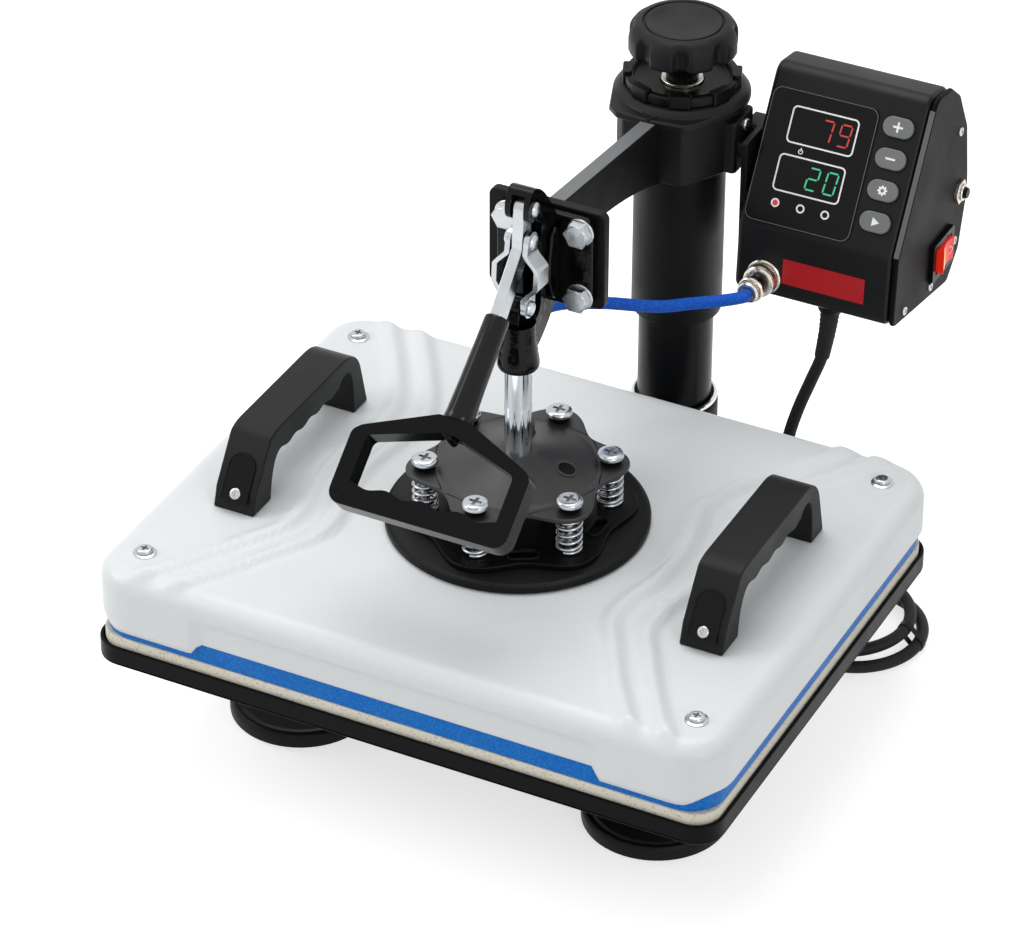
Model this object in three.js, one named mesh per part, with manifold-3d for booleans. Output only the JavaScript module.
// A swing-away flat heat press with a lever clamp: a fixed lower table, a column, and a head that turns
// and lifts on the column and carries the clamp, the sprung hot platen and the control box.
// Millimetres, +Z up, -Y towards the operator. Inside the model the hot platen is centred on x = 0, y = 0;
// the outer group then moves the whole press so that the origin is under the middle of its box.
import * as THREE from "three";
import { mergeVertices } from "three/addons/utils/BufferGeometryUtils.js";
import Module from "manifold-3d";

const wasm = await Module();
wasm.setup();

// Driving sizes

const seat = 0.3; // gap between pieces that touch
const over = 1; // how far a cutting shape runs past the face it cuts

const plate = { width: 380, depth: 300, thick: 15.5, corner: 22 };
const pad = { thick: 8, corner: 16 };
const tray = { margin: 0.4, depth: 10, wall: 2.5, lip: 2.2, lipRise: 2.4, corner: 17, boss: 78 };

const foot = { radius: 34, height: 4, spigot: 12, spigotRise: 2 };
const base = {
  thick: 6, lobeRadius: 42, lobeRise: 2.8, ridge: 5, dish: 1.6,
  frontX: 113.4, frontY: -51.7, rearX: 93, rearY: 256.7,
  frontEdge: -58, rearEdge: 263, waist: 56, fillet: 14, sideFillet: 60,
};
const pedestal = { height: 66.9, flangeRadius: 64, tubeRadius: 40, flange: 5, ribs: 6, rib: 5 };

const column = { y: 209.2, postRadius: 22.3, postWall: 3, sleeveGap: 0.5, sleeveWall: 4.1 };
const collar = { radius: 26.5, flangeRadius: 40, flange: 7, height: 90.8, chamfer: 3 };
const thrust = { height: 2.6 };
const lift = { travel: 20, pitch: 2.5, screwRadius: 7.5, nutHeight: 18, nutWall: 0.3 };

const cover = {
  margin: 3.3, corner: 26, wall: 2, top: 27.8, shoulder: 15, skirt: 9, sideLift: 6.4,
  recess: 1, cornerRun: 62, bossRadius: 7, screwInX: 20.3, screwInY: 24.6, round: 11,
  // the ribs pass the disc at these distances and end this far in from the plate's side
  ribRise: 1.8, ribWidth: 14, ribPitch: 21.5, ribFlareIn: 43, ribWaistOut: 15.7, ribBellyOut: 23.7, waistY: 55,
};
const disc = { radius: 75.3, thick: 5.5, bevel: 1.5 };
const star = { radius: 63, wave: 5, thick: 3, slotLength: 17, slotWidth: 6.5, slotRadius: 50 };
const spring = { count: 6, circle: 52, length: 23.5, radius: 6.7, wire: 0.9, curls: 5, flat: 0.25 };
const screw = { shank: 2.7, headRadius: 7.6, head: 3, proud: 3.8, neckRadius: 5 };
const spider = {
  thick: 3, lobeRadius: 11, waist: 42, dome: 9, domeRadius: 36, hubRadius: 13, hub: 11,
  sheet: 3, hole: 5.5, holeX: 27, holeY: 7, float: 4,
};

const rod = { radius: 7.75, visible: 57, sink: 4 };
const guide = { radius: 12.5, length: 27, running: 0.35, wall: 1.7, collar: 4.5, collarRadius: 11.4 };
const clamp = {
  tongue: 7, tongueWidth: 13.4, linkPinAbove: 10, pinRadius: 3, cheek: 3.2, slot: 7.8,
  linkLength: 41, leverArm: 19.8, pivotY: 4.5, lobe: 7.4, hoodRise: 12, hood: 7, cheekFront: 13,
  flangeY: 31, flange: 6, flangeWidth: 58.6, flangeHeight: 57, flangeCorner: 5,
};
const link = { thick: 3, width: 12.6, bulge: 7.2, side: 0.5, bossRadius: 5.8 };
const rivet = { headRadius: 4.4, head: 1.7 };
const lever = {
  bar: 6.6, barRadius: 5.5, barLean: 29, barLength: 64, gripLean: 50.3, gripLength: 60,
  gripRadius: 7, gripFlare: 8.2, coreRadius: 4.6, opens: 87,
};
const pull = {
  halfWidth: 54, shoulder: 17, depth: 63, bar: 11.5, side: 12.2, thick: 13, corner: 7, neck: 9,
  waves: 4, wave: 2.4, edge: 1.6,
};

const hanger = { width: 75.4, height: 61, thick: 6, corner: 6, boltX: 22, boltZ: 20.8 };
const bolt = { radius: 7.5, head: 5.3, shank: 3.8, washer: 8.2, washerThick: 1.4 };
const arm = { thick: 10, topDrop: 0.1, front: 32, root: 46, arch: 14, rise: 2.5 };

const head = {
  radius: 35, noseY: 12, noseRadius: 26, height: 46, brim: 3, brimHeight: 5, crownDrop: 9,
  crownRadius: 33, slot: 0.6, bossX: 44, bossWidth: 26, wall: 4,
};
const crown = { radius: 31.8, height: 9, wall: 5.5, teeth: 8, tooth: 2.2, toothWidth: 13, cup: 5,
  cupDrop: 4 };
const bearing = { radius: 12.4, height: 3, bore: 8.2 };
const knob = {
  radius: 31.9, height: 19, scallops: 8, scallop: 5.6, bite: 2.6, shoulder: 5, stemRadius: 9.6,
  stem: 20, skirt: 2.5, capRadius: 23.3, capGroove: 0.8,
};

const box = {
  left: 50, width: 100, frontY: 178, hang: 108.5, wall: 2, side: 1.6, edge: 6, chamfer: 5,
  // side outline: distance back from the front and height above the bottom of the front
  sideOutline: [[0, 0], [3, 44], [51.5, 124.5], [73.5, 121], [87.5, 109.5], [101.5, 83], [107, 47],
    [107.4, 34],
    [98.8, 1.5], [83, -14]],
};
const panel = { left: 4.4, width: 64, height: 77, up: 4, thick: 0.8, corner: 5, rise: 3 };
const display = { left: 13.3, width: 40, timeUp: 18.7, tempUp: 47, height: 20.4, rim: 1.6, corner: 2.5 };
const button = { x: 81.3, first: 18.2, step: 18.4, width: 19, height: 12, thick: 5, proud: 1.6,
  flange: 1.2, travel: 1 };
const rocker = { y: 68, z: 14, width: 31, height: 25, bezel: 2.6, rim: 2.6, tilt: 12, depth: 12, wing: 4.4 };
const reset = { y: 92.4, z: 43, collar: 7.6, rise: 2.2, barrel: 5, stem: 3.3, proud: 5.2, travel: 1.2 };
const socket = { x: 19, z: 12.7, radius: 10.4, flange: 2, barrel: 7.6, nose: 6.4, depth: 8, out: 3.6 };
const coupler = { radius: 9, nut: 9, waistRadius: 6.6, waist: 6, tailRadius: 5.6, tail: 7 };
const gland = { x: 53, y: 22, radius: 9, nut: 5, neckRadius: 6.4, neck: 4, spigot: 5.4 };
const bracket = { width: 24, height: 30 };

const heaterCable = { radius: 3.65, sides: 6, socketX: -8, socketY: 22, socketRadius: 6.6, rise: 3,
  steps: 28 };
const mains = {
  radius: 3.75, sides: 6, loopSteps: 24, loops: 2, inner: 34, clearance: 0.9, coilX: 140, coilY: 165,
  joinX: 75, joinY: 204, joinZ: 45, dropSteps: 14, runSteps: 9,
};
const plug = { length: 34, width: 27, height: 20, neck: 12, corner: 5, pin: 6.4, pinThick: 1.6,
  pinLength: 17, spread: 6.4 };
const grip = {
  inset: 47.9, width: 26.5, frontY: -68.6, rearY: 67.7, height: 42, lean: 26, leg: 21, thick: 15, waves: 4, wave: 1.6,
  edge: 3, pocket: 13, pocketFloor: 4, pocketDeep: 12, pocketHigh: 27, arch: 9, archRise: 24,
};

// Heights, worked out from the floor up

const baseZ = foot.height + seat;
const pedestalZ = baseZ + base.thick + seat;
const trayZ = pedestalZ + pedestal.height + seat;
const padZ = trayZ + tray.depth + seat;
const plateZ = padZ + pad.thick + seat;
const coverFloorZ = plateZ + plate.thick + seat;
const coverTopZ = coverFloorZ + cover.top;
const discZ = coverTopZ + seat;
const starZ = discZ + disc.thick + seat;
const springZ = starZ + star.thick + seat;
const spiderZ = springZ + spring.length + seat;
const spiderTopZ = spiderZ + spider.thick;
const hubTopZ = spiderTopZ + spider.hub;
const guideZ = hubTopZ + rod.visible;
const linkPinZ = guideZ + guide.length + clamp.linkPinAbove;
const elbowY = clamp.pivotY * (clamp.linkLength / (clamp.linkLength + clamp.leverArm));
const elbowZ = linkPinZ + Math.sqrt(clamp.linkLength ** 2 - elbowY ** 2);
const pivotZ = elbowZ + Math.sqrt(clamp.leverArm ** 2 - (clamp.pivotY - elbowY) ** 2);
const hangerY = clamp.flangeY + clamp.flange + seat;
const hangerZ = linkPinZ - clamp.linkPinAbove - 0.085 * hanger.height;
const armTopZ = hangerZ + hanger.height - arm.rise;
const sleeveRadius = column.postRadius + column.sleeveGap + column.sleeveWall;
const armRootY = column.y - sleeveRadius - seat;
const armRun = armRootY - hangerY - hanger.thick;
const armRootTopZ = armTopZ - arm.topDrop * armRun;
const headTopZ = armRootTopZ + 1.5 * head.wall;
const headZ = headTopZ - head.height;
const collarTopZ = pedestalZ + collar.height;
const sleeveZ = collarTopZ + thrust.height + 2 * seat + 2.5 * lift.travel;
const postTopZ = headTopZ - 2 * head.wall - lift.nutHeight;
const crownZ = headTopZ + seat;
const knobZ = crownZ + knob.stem;

// Solid helpers

// A closed three.js geometry as a solid with its faces pointing out.
function solid(geometry) {
  const bare = geometry.index ? geometry.toNonIndexed() : geometry.clone();
  bare.deleteAttribute("normal");
  bare.deleteAttribute("uv");
  const merged = mergeVertices(bare, 1e-4);
  const triVerts = new Uint32Array(merged.index.array);
  const vertProperties = merged.attributes.position.array;
  const made = new wasm.Manifold(new wasm.Mesh({ numProp: 3, vertProperties, triVerts }));
  if (made.volume() > 0) return made;
  for (let i = 0; i < triVerts.length; i += 3) {
    [triVerts[i + 1], triVerts[i + 2]] = [triVerts[i + 2], triVerts[i + 1]];
  }
  return new wasm.Manifold(new wasm.Mesh({ numProp: 3, vertProperties, triVerts }));
}

function geometryOf(manifold) {
  const mesh = manifold.getMesh();
  const positions = new Float32Array(mesh.numVert * 3);
  for (let i = 0; i < mesh.numVert; i++) {
    positions.set(mesh.vertProperties.subarray(i * mesh.numProp, i * mesh.numProp + 3), i * 3);
  }
  const geometry = new THREE.BufferGeometry();
  geometry.setAttribute("position", new THREE.BufferAttribute(positions, 3));
  geometry.setIndex(new THREE.BufferAttribute(new Uint32Array(mesh.triVerts), 1));
  const flat = geometry.toNonIndexed();
  flat.computeVertexNormals();
  return flat;
}

const join = (...solids) => solids.reduce((whole, one) => whole.add(one));
const cut = (whole, ...tools) => tools.reduce((left, tool) => left.subtract(tool), whole);

// A frame whose third axis is where an outline is pushed to.
const upright = (x, y, z) => new THREE.Matrix4().setPosition(x, y, z);
const alongX = (x, y, z) =>
  new THREE.Matrix4().set(0, 0, 1, x, 1, 0, 0, y, 0, 1, 0, z, 0, 0, 0, 1);
const alongMinusY = (x, y, z) =>
  new THREE.Matrix4().set(1, 0, 0, x, 0, 0, -1, y, 0, 1, 0, z, 0, 0, 0, 1);

function push(shape, depth, frame, { bevel = 0, curve = 2 } = {}) {
  const options = { depth: depth - 2 * bevel, curveSegments: curve, bevelEnabled: bevel > 0 };
  if (bevel > 0) {
    Object.assign(options, { bevelThickness: bevel, bevelSize: bevel, bevelOffset: -bevel,
      bevelSegments: 1 });
  }
  const geometry = new THREE.ExtrudeGeometry(shape, options);
  geometry.translate(0, 0, bevel);
  return solid(geometry.applyMatrix4(frame));
}

// A box centred on x and y that stands on z.
function block(width, depth, height, x, y, z) {
  const geometry = new THREE.BoxGeometry(width, depth, height);
  return solid(geometry.translate(x, y, z + height / 2));
}

// A round bar that starts at a point and runs along an axis.
function bar(radius, length, frame, { sides = 14, end = radius } = {}) {
  const geometry = new THREE.CylinderGeometry(end, radius, length, sides);
  geometry.rotateX(Math.PI / 2).translate(0, 0, length / 2);
  return solid(geometry.applyMatrix4(frame));
}

// A turned piece about +Z: pairs of radius and height, closed on the axis or on itself.
function turned(profile, frame, sides = 18) {
  const points = profile.map(([r, z]) => new THREE.Vector2(r, z));
  const geometry = new THREE.LatheGeometry(points, sides).rotateX(Math.PI / 2);
  return solid(geometry.applyMatrix4(frame));
}

function roundedRect(width, height, corner, x = 0, y = 0) {
  const [w, h] = [width / 2, height / 2];
  const r = Math.min(corner, w - seat, h - seat);
  const shape = new THREE.Shape();
  shape.moveTo(x - w + r, y - h);
  shape.lineTo(x + w - r, y - h);
  shape.absarc(x + w - r, y - h + r, r, -Math.PI / 2, 0);
  shape.lineTo(x + w, y + h - r);
  shape.absarc(x + w - r, y + h - r, r, 0, Math.PI / 2);
  shape.lineTo(x - w + r, y + h);
  shape.absarc(x - w + r, y + h - r, r, Math.PI / 2, Math.PI);
  shape.lineTo(x - w, y - h + r);
  shape.absarc(x - w + r, y - h + r, r, Math.PI, 1.5 * Math.PI);
  return shape;
}

// Points round a rounded rectangle, always the same count for the same number of steps.
function rectRing(width, height, corner, steps) {
  const points = [];
  [[1, -1], [1, 1], [-1, 1], [-1, -1]].forEach(([x, y], i) => {
    for (let k = 0; k <= steps; k++) {
      const turn = (i - 1 + k / steps) * (Math.PI / 2);
      const [alongSideways, alongY0] = [x * (width / 2 - corner), y * (height / 2 - corner)];
      points.push(new THREE.Vector2(alongSideways + corner * Math.cos(turn),
        alongY0 + corner * Math.sin(turn)));
    }
  });
  return points;
}

const outline = (points) => new THREE.Shape(points.map(([x, y]) => new THREE.Vector2(x, y)));

// A closed skin over rings of points that all have the same count, one ring after the other.
function skin(rings) {
  const count = rings[0].length;
  const positions = [];
  const face = (...points) => points.forEach((p) => positions.push(p.x, p.y, p.z));
  for (let i = 0; i + 1 < rings.length; i++) {
    for (let k = 0; k < count; k++) {
      const next = (k + 1) % count;
      face(rings[i][k], rings[i][next], rings[i + 1][next]);
      face(rings[i][k], rings[i + 1][next], rings[i + 1][k]);
    }
  }
  const last = rings[rings.length - 1];
  for (let k = 1; k + 1 < count; k++) {
    face(rings[0][0], rings[0][k + 1], rings[0][k]);
    face(last[0], last[k], last[k + 1]);
  }
  const geometry = new THREE.BufferGeometry();
  geometry.setAttribute("position", new THREE.Float32BufferAttribute(positions, 3));
  return solid(geometry);
}

// A tube through a list of points, its rings kept upright so that the seam never twists.
function tube(points, radius, sides) {
  const rings = points.map((point, i) => {
    const before = points[Math.max(i - 1, 0)];
    const after = points[Math.min(i + 1, points.length - 1)];
    const ahead = after.clone().sub(before).normalize();
    const side = ringSide(ahead);
    const lift = new THREE.Vector3().crossVectors(side, ahead);
    return Array.from({ length: sides }, (_, k) => {
      const turn = (2 * Math.PI * k) / sides;
      return point.clone().addScaledVector(side, radius * Math.cos(turn)).addScaledVector(lift,
        radius * Math.sin(turn));
    });
  });
  return skin(rings);
}

let lastSide = new THREE.Vector3(1, 0, 0);
function ringSide(ahead) {
  const side = lastSide.clone().addScaledVector(ahead, -lastSide.dot(ahead)).normalize();
  lastSide = side;
  return side;
}

function sweep(points, radius, sides, firstSide) {
  lastSide = firstSide.clone();
  return tube(points, radius, sides);
}

// The smallest distance between two runs of one winding, from its own points, tube to tube.
function ownGap(points, radius, apart) {
  let least = Infinity;
  for (let i = 0; i < points.length; i++) {
    for (let k = i + apart; k < points.length; k++) {
      least = Math.min(least, points[i].distanceTo(points[k]));
    }
  }
  return least - 2 * radius;
}

// Materials

const finish = (color, roughness, metalness) => new THREE.MeshStandardMaterial({ color, roughness,
  metalness });
const blackCoat = finish(0x17181a, 0.55, 0.3);
const whiteCoat = finish(0xe6e9ea, 0.5, 0.1);
const blueCoat = finish(0x1766b8, 0.45, 0.5);
const foam = finish(0xd9cfb2, 0.9, 0);
const rubber = finish(0x141414, 0.9, 0);
const plastic = finish(0x1b1c1e, 0.6, 0);
const gloss = finish(0x0f1011, 0.25, 0);
const zinc = finish(0xb9c0c6, 0.3, 0.9);
const chrome = finish(0xd5d9dc, 0.12, 1);
const nickel = finish(0xb8b09c, 0.3, 0.9);
const greyPlastic = finish(0x6f7274, 0.6, 0);
const redGlow = finish(0xc2201c, 0.35, 0);
const blueBraid = finish(0x1769cf, 0.7, 0);
const green = finish(0x2f6b3c, 0.6, 0);

const press = new THREE.Group();
const floorAndTable = new THREE.Group();
const turningHead = new THREE.Group();
press.add(floorAndTable, turningHead);

// Facets that turn less than this are merged, so that flat faces stay light.
const facetTolerance = 0.1;

function add(group, name, manifold, material) {
  const mesh = new THREE.Mesh(geometryOf(manifold.simplify(facetTolerance)), material);
  mesh.name = name;
  group.add(mesh);
}

// Base, feet and pedestal

const lobes = [
  ["front_left", -base.frontX, base.frontY],
  ["front_right", base.frontX, base.frontY],
  ["rear_left", -base.rearX, base.rearY],
  ["rear_right", base.rearX, base.rearY],
];

// A straight edge meets a round lobe in a hollow fillet: the wedge to add and the round to cut.
function hollowFillet(lobeX, lobeY, edgeY, outward, radius) {
  const centreY = edgeY + outward * radius;
  const reach = Math.sqrt((base.lobeRadius + radius) ** 2 - (centreY - lobeY) ** 2);
  const centreX = lobeX - Math.sign(lobeX) * reach;
  const wedge = outline([[centreX, edgeY - outward * over], [lobeX, lobeY], [centreX, centreY]]);
  return {
    wedge: push(wedge, base.thick, upright(0, 0, baseZ)),
    round: bar(radius, base.thick + 2 * over, upright(centreX, centreY, baseZ - over)),
  };
}

function basePlate() {
  const { waist, frontEdge, rearEdge, frontX, frontY, rearX, rearY, thick } = base;
  const middleY = (frontY + rearY) / 2;
  const spine = new THREE.Shape();
  spine.moveTo(-frontX, frontEdge);
  spine.lineTo(frontX, frontEdge);
  spine.lineTo(frontX + base.lobeRadius * 0.6, frontY);
  spine.quadraticCurveTo(waist, frontY + base.lobeRadius, waist, middleY);
  spine.quadraticCurveTo(waist, rearY - base.lobeRadius, rearX + base.lobeRadius * 0.6, rearY);
  spine.lineTo(rearX, rearEdge);
  spine.lineTo(-rearX, rearEdge);
  spine.lineTo(-rearX - base.lobeRadius * 0.6, rearY);
  spine.quadraticCurveTo(-waist, rearY - base.lobeRadius, -waist, middleY);
  spine.quadraticCurveTo(-waist, frontY + base.lobeRadius, -frontX - base.lobeRadius * 0.6, frontY);
  let whole = push(spine, thick, upright(0, 0, baseZ), { curve: 6 });
  const fillets = [
    hollowFillet(-frontX, frontY, frontEdge, -1, base.fillet),
    hollowFillet(frontX, frontY, frontEdge, -1, base.fillet),
    hollowFillet(-rearX, rearY, rearEdge, 1, base.fillet),
    hollowFillet(rearX, rearY, rearEdge, 1, base.fillet),
  ];
  for (const { wedge, round } of fillets) whole = cut(join(whole, wedge), round);
  const r = base.lobeRadius;
  const profile = [
    [0, 0], [r, 0], [r, thick], [r - base.ridge / 2, thick + base.lobeRise],
    [r - base.ridge, thick + base.lobeRise], [r - 1.6 * base.ridge, thick + base.lobeRise - base.dish],
    [0, thick + base.lobeRise - base.dish],
  ];
  for (const [, x, y] of lobes) whole = join(whole, turned(profile, upright(x, y, baseZ), 14));
  for (const [, x, y] of lobes) {
    const hole = bar(foot.spigot + seat, foot.spigotRise + seat + over, upright(x, y, baseZ - over),
      { sides: 10 });
    whole = cut(whole, hole);
  }
  return whole;
}

add(floorAndTable, "base_plate", basePlate(), blackCoat);

for (const [name, x, y] of lobes) {
  const profile = [
    [0, 0], [foot.radius - 1.5, 0], [foot.radius, 1.5], [foot.radius, foot.height], [foot.spigot,
      foot.height],
    [foot.spigot, foot.height + foot.spigotRise], [0, foot.height + foot.spigotRise],
  ];
  add(floorAndTable, "rubber_foot_" + name, turned(profile, upright(x, y, 0), 10), rubber);
}

function pedestalStand() {
  const { flangeRadius, tubeRadius, flange, height, ribs, rib } = pedestal;
  const profile = [
    [0, 0], [flangeRadius, 0], [flangeRadius, flange], [tubeRadius, 2 * flange],
    [tubeRadius, height - 2 * flange], [flangeRadius, height - flange],
    [flangeRadius, height], [0, height],
  ];
  let whole = turned(profile, upright(0, 0, pedestalZ), 16);
  const web = outline([
    [tubeRadius - flange, flange / 2], [flangeRadius - flange, flange / 2], [tubeRadius + flange,
      height / 2],
    [flangeRadius - flange, height - flange / 2], [tubeRadius - flange, height - flange / 2],
  ]);
  for (let i = 0; i < ribs; i++) {
    const turn = new THREE.Matrix4().makeRotationZ((2 * Math.PI * i) / ribs);
    const frame = turn.multiply(alongMinusY(0, rib / 2, pedestalZ));
    whole = join(whole, push(web, rib, frame));
  }
  return whole;
}

add(floorAndTable, "pedestal", pedestalStand(), blackCoat);

// Lower table: pressed tray and silicone pad

const trayWidth = plate.width + 2 * (tray.margin + tray.lip);
const trayDepth = plate.depth + 2 * (tray.margin + tray.lip);

function lowerTray() {
  const { wall, depth, corner, lip, lipRise } = tray;
  const inside = corner - wall;
  const body = push(roundedRect(trayWidth, trayDepth, corner), depth, upright(0, 0, trayZ), { bevel: 1.2 });
  const rim = push(roundedRect(trayWidth, trayDepth, corner), lipRise, upright(0, 0, trayZ + depth));
  const well = roundedRect(trayWidth - 2 * lip, trayDepth - 2 * lip, corner - lip);
  const hollow = roundedRect(trayWidth - 2 * wall, trayDepth - 2 * wall, inside);
  const boss = bar(tray.boss, depth, upright(0, 0, trayZ), { sides: 18 });
  const below = cut(push(hollow, depth - wall + over, upright(0, 0, trayZ - over)), boss);
  return cut(join(body, rim), push(well, lipRise + over, upright(0, 0, trayZ + depth)), below);
}

add(floorAndTable, "lower_tray", lowerTray(), blackCoat);
const padShape = roundedRect(plate.width, plate.depth, pad.corner);
add(floorAndTable, "silicone_pad", push(padShape, pad.thick, upright(0, 0, padZ), { bevel: 0.8 }), foam);

// Column: collar, post and the nut inside its top

function columnCollar() {
  const bore = column.postRadius + seat;
  const { radius, flangeRadius, flange, height, chamfer } = collar;
  return turned([
    [bore, 0], [flangeRadius, 0], [flangeRadius, flange], [radius + chamfer, flange],
    [radius, flange + chamfer], [radius, height - 1], [radius - 1, height], [bore, height], [bore, 0],
  ], upright(0, column.y, pedestalZ), 18);
}

add(floorAndTable, "post_collar", columnCollar(), blackCoat);
const postBore = column.postRadius - column.postWall;
add(floorAndTable, "post", turned([
  [postBore, 0], [column.postRadius, 0], [column.postRadius, postTopZ - pedestalZ], [postBore,
    postTopZ - pedestalZ],
  [postBore, 0],
], upright(0, column.y, pedestalZ), 18), blackCoat);

const nutOuter = postBore - seat;
const nutBore = lift.screwRadius + seat;
add(floorAndTable, "lift_nut", turned([
  [nutBore, 0], [nutOuter, 0], [nutOuter, lift.nutHeight], [column.postRadius, lift.nutHeight],
  [column.postRadius, lift.nutHeight + column.postWall], [nutBore,
    lift.nutHeight + column.postWall], [nutBore, 0],
], upright(0, column.y, postTopZ + seat - lift.nutHeight), 12), zinc);

// Swing bearing ring

const ringBore = column.postRadius + 2 * seat;
add(turningHead, "thrust_ring", turned([
  [ringBore, 0], [collar.radius, 0], [collar.radius, thrust.height - 0.6], [collar.radius - 0.6,
    thrust.height],
  [ringBore, thrust.height], [ringBore, 0],
], upright(0, column.y, collarTopZ + seat), 18), chrome);

// Head: sleeve, shroud, crown ring, bearing, knob and lifting screw

function swingSleeve() {
  const bore = column.postRadius + column.sleeveGap;
  const top = headTopZ - head.wall - seat - sleeveZ;
  const screwHole = lift.screwRadius + column.sleeveGap;
  return turned([
    [bore, 0], [sleeveRadius - 1, 0], [sleeveRadius, 1], [sleeveRadius, top], [screwHole, top],
    [screwHole, top - head.wall + 2 * seat], [bore, top - head.wall + 2 * seat], [bore, 0],
  ], upright(0, column.y, sleeveZ), 18);
}

add(turningHead, "swing_sleeve", swingSleeve(), blackCoat);

function headOutline(grow) {
  const r = head.radius + grow;
  const nose = head.noseRadius + grow;
  const side = Math.asin((r - nose) / (head.noseY + head.radius - head.noseRadius));
  const noseCentre = -(head.noseY + head.radius - head.noseRadius);
  const shape = new THREE.Shape();
  shape.absarc(0, 0, r, -side, Math.PI + side);
  shape.absarc(0, noseCentre, nose, Math.PI + side, 2 * Math.PI - side);
  shape.closePath();
  return shape;
}

function headShroud() {
  const { height, brim, brimHeight, crownDrop, crownRadius, bossX, bossWidth, wall } = head;
  const at = (z) => upright(0, column.y, z);
  const brimZ = headTopZ - crownDrop - brimHeight;
  const body = push(headOutline(0), height - crownDrop - wall, at(headZ), { curve: 6 });
  const eyebrow = push(headOutline(brim), brimHeight, at(brimZ), { bevel: 1, curve: 6 });
  const slope = bar(head.radius + brim - 1, crownDrop, at(headTopZ - crownDrop),
    { sides: 18, end: crownRadius });
  const boss = block(bossX, bossWidth, height - crownDrop, bossX / 2, column.y, headZ);
  const bore = bar(sleeveRadius + seat, height - wall + over, at(headZ - over), { sides: 18 });
  const screwHole = bar(lift.screwRadius + column.sleeveGap, height, at(headZ + wall), { sides: 12 });
  const armSlot = block(
    arm.thick + 2 * head.slot, 2 * head.radius, armRootTopZ + head.slot - headZ + over,
    0, column.y - sleeveRadius - head.radius, headZ - over,
  );
  return cut(join(body, eyebrow, slope, boss), bore, screwHole, armSlot);
}

add(turningHead, "head_shroud", headShroud(), plastic);

function crownRing() {
  const { radius, height, wall, teeth, tooth, toothWidth, cup, cupDrop } = crown;
  const hole = bearing.radius + seat;
  let whole = turned([
    [hole, 0], [radius - 1, 0], [radius, 1], [radius, height - 1], [radius - 1, height], [radius - wall,
      height],
    [radius - wall - 1, cup], [hole + cup, cup - cupDrop / 2], [hole, cup - cupDrop / 2], [hole, 0],
  ], upright(0, column.y, crownZ), 16);
  for (let i = 0; i < teeth; i++) {
    const turn = new THREE.Matrix4().makeTranslation(0, column.y, crownZ);
    turn.multiply(new THREE.Matrix4().makeRotationZ((2 * Math.PI * (i + 0.5)) / teeth));
    const lug = new THREE.BoxGeometry(wall - 1, toothWidth, height - 1 + tooth);
    lug.translate(radius - wall / 2 + 0.4, 0, (height - 1 + tooth) / 2 + 0.5);
    whole = join(whole, solid(lug.applyMatrix4(turn)));
  }
  return whole;
}

add(turningHead, "crown_ring", crownRing(), plastic);
add(turningHead, "top_bearing", turned([
  [bearing.bore, 0], [bearing.radius, 0], [bearing.radius, bearing.height],
  [bearing.bore, bearing.height],
  [bearing.bore, 0],
], upright(0, column.y, crownZ), 18), chrome);

function pressureKnob() {
  const { radius, height, scallops, scallop, bite, shoulder, stemRadius, stem, skirt, capRadius,
    capGroove } = knob;
  const stemFoot = -stem + bearing.height + seat;
  let whole = turned([
    [0, stemFoot], [stemRadius, stemFoot], [stemRadius, -skirt], [radius - 4, -skirt], [radius, 1.5],
    [radius, height - shoulder], [radius - shoulder / 3, height - shoulder / 3], [radius - shoulder, height],
    [capRadius, height], [capRadius - capGroove, height - capGroove], [0, height - capGroove],
  ], upright(0, column.y, knobZ), 24);
  for (let i = 0; i < scallops; i++) {
    const turn = (2 * Math.PI * i) / scallops + Math.PI / scallops;
    const out = radius + scallop - bite;
    const [x, y] = [out * Math.cos(turn), column.y + out * Math.sin(turn)];
    const groove = bar(scallop, skirt + height - shoulder / 2 + over, upright(x, y, knobZ - skirt - over),
      { sides: 8 });
    whole = cut(whole, groove);
  }
  return cut(whole, bar(lift.screwRadius + seat, stem, upright(0, column.y, knobZ - stem), { sides: 12 }));
}

add(turningHead, "pressure_knob", pressureKnob(), plastic);

function liftingScrew() {
  const reach = lift.nutHeight + lift.travel + 2 * head.wall;
  const top = knobZ - seat - 2;
  const foot = postTopZ - reach;
  return turned([
    [0, 0], [lift.screwRadius - 1, 0], [lift.screwRadius, 1], [lift.screwRadius, top - foot - 1],
    [lift.screwRadius - 1, top - foot], [0, top - foot],
  ], upright(0, column.y, foot), 16);
}

add(turningHead, "lifting_screw", liftingScrew(), zinc);

// Arm and clamp hanger

function headArm() {
  const { thick, front, root, arch, topDrop } = arm;
  const startY = hangerY + hanger.thick / 2;
  const run = armRootY - startY;
  const side = new THREE.Shape();
  const topAt = (y) => armTopZ - topDrop * y;
  side.moveTo(0, topAt(0) - front);
  side.quadraticCurveTo(0.62 * run, topAt(0) - front - arch * 0.2, run, topAt(run) - root);
  side.lineTo(run, topAt(run));
  side.lineTo(0, topAt(0));
  const web = push(side, thick, alongX(-thick / 2, startY, 0), { bevel: 0.8, curve: 6 });
  const plateShape = roundedRect(hanger.width, hanger.height, hanger.corner, 0, hanger.height / 2);
  const back = push(plateShape, hanger.thick, alongMinusY(0, hangerY + hanger.thick, hangerZ),
    { bevel: 0.8 });
  let whole = join(web, back);
  for (const [x, z] of boltPlaces) {
    const shankHole = bar(bolt.shank + seat, hanger.thick + 2 * over,
      alongMinusY(x, hangerY + hanger.thick + over, z), { sides: 8 });
    whole = cut(whole, shankHole);
  }
  return whole;
}

const hangerMiddleZ = hangerZ + hanger.height / 2;
const boltPlaces = [];
for (const x of [-hanger.boltX, hanger.boltX]) {
  for (const z of [hangerMiddleZ - hanger.boltZ, hangerMiddleZ + hanger.boltZ]) boltPlaces.push([x, z]);
}

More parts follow.
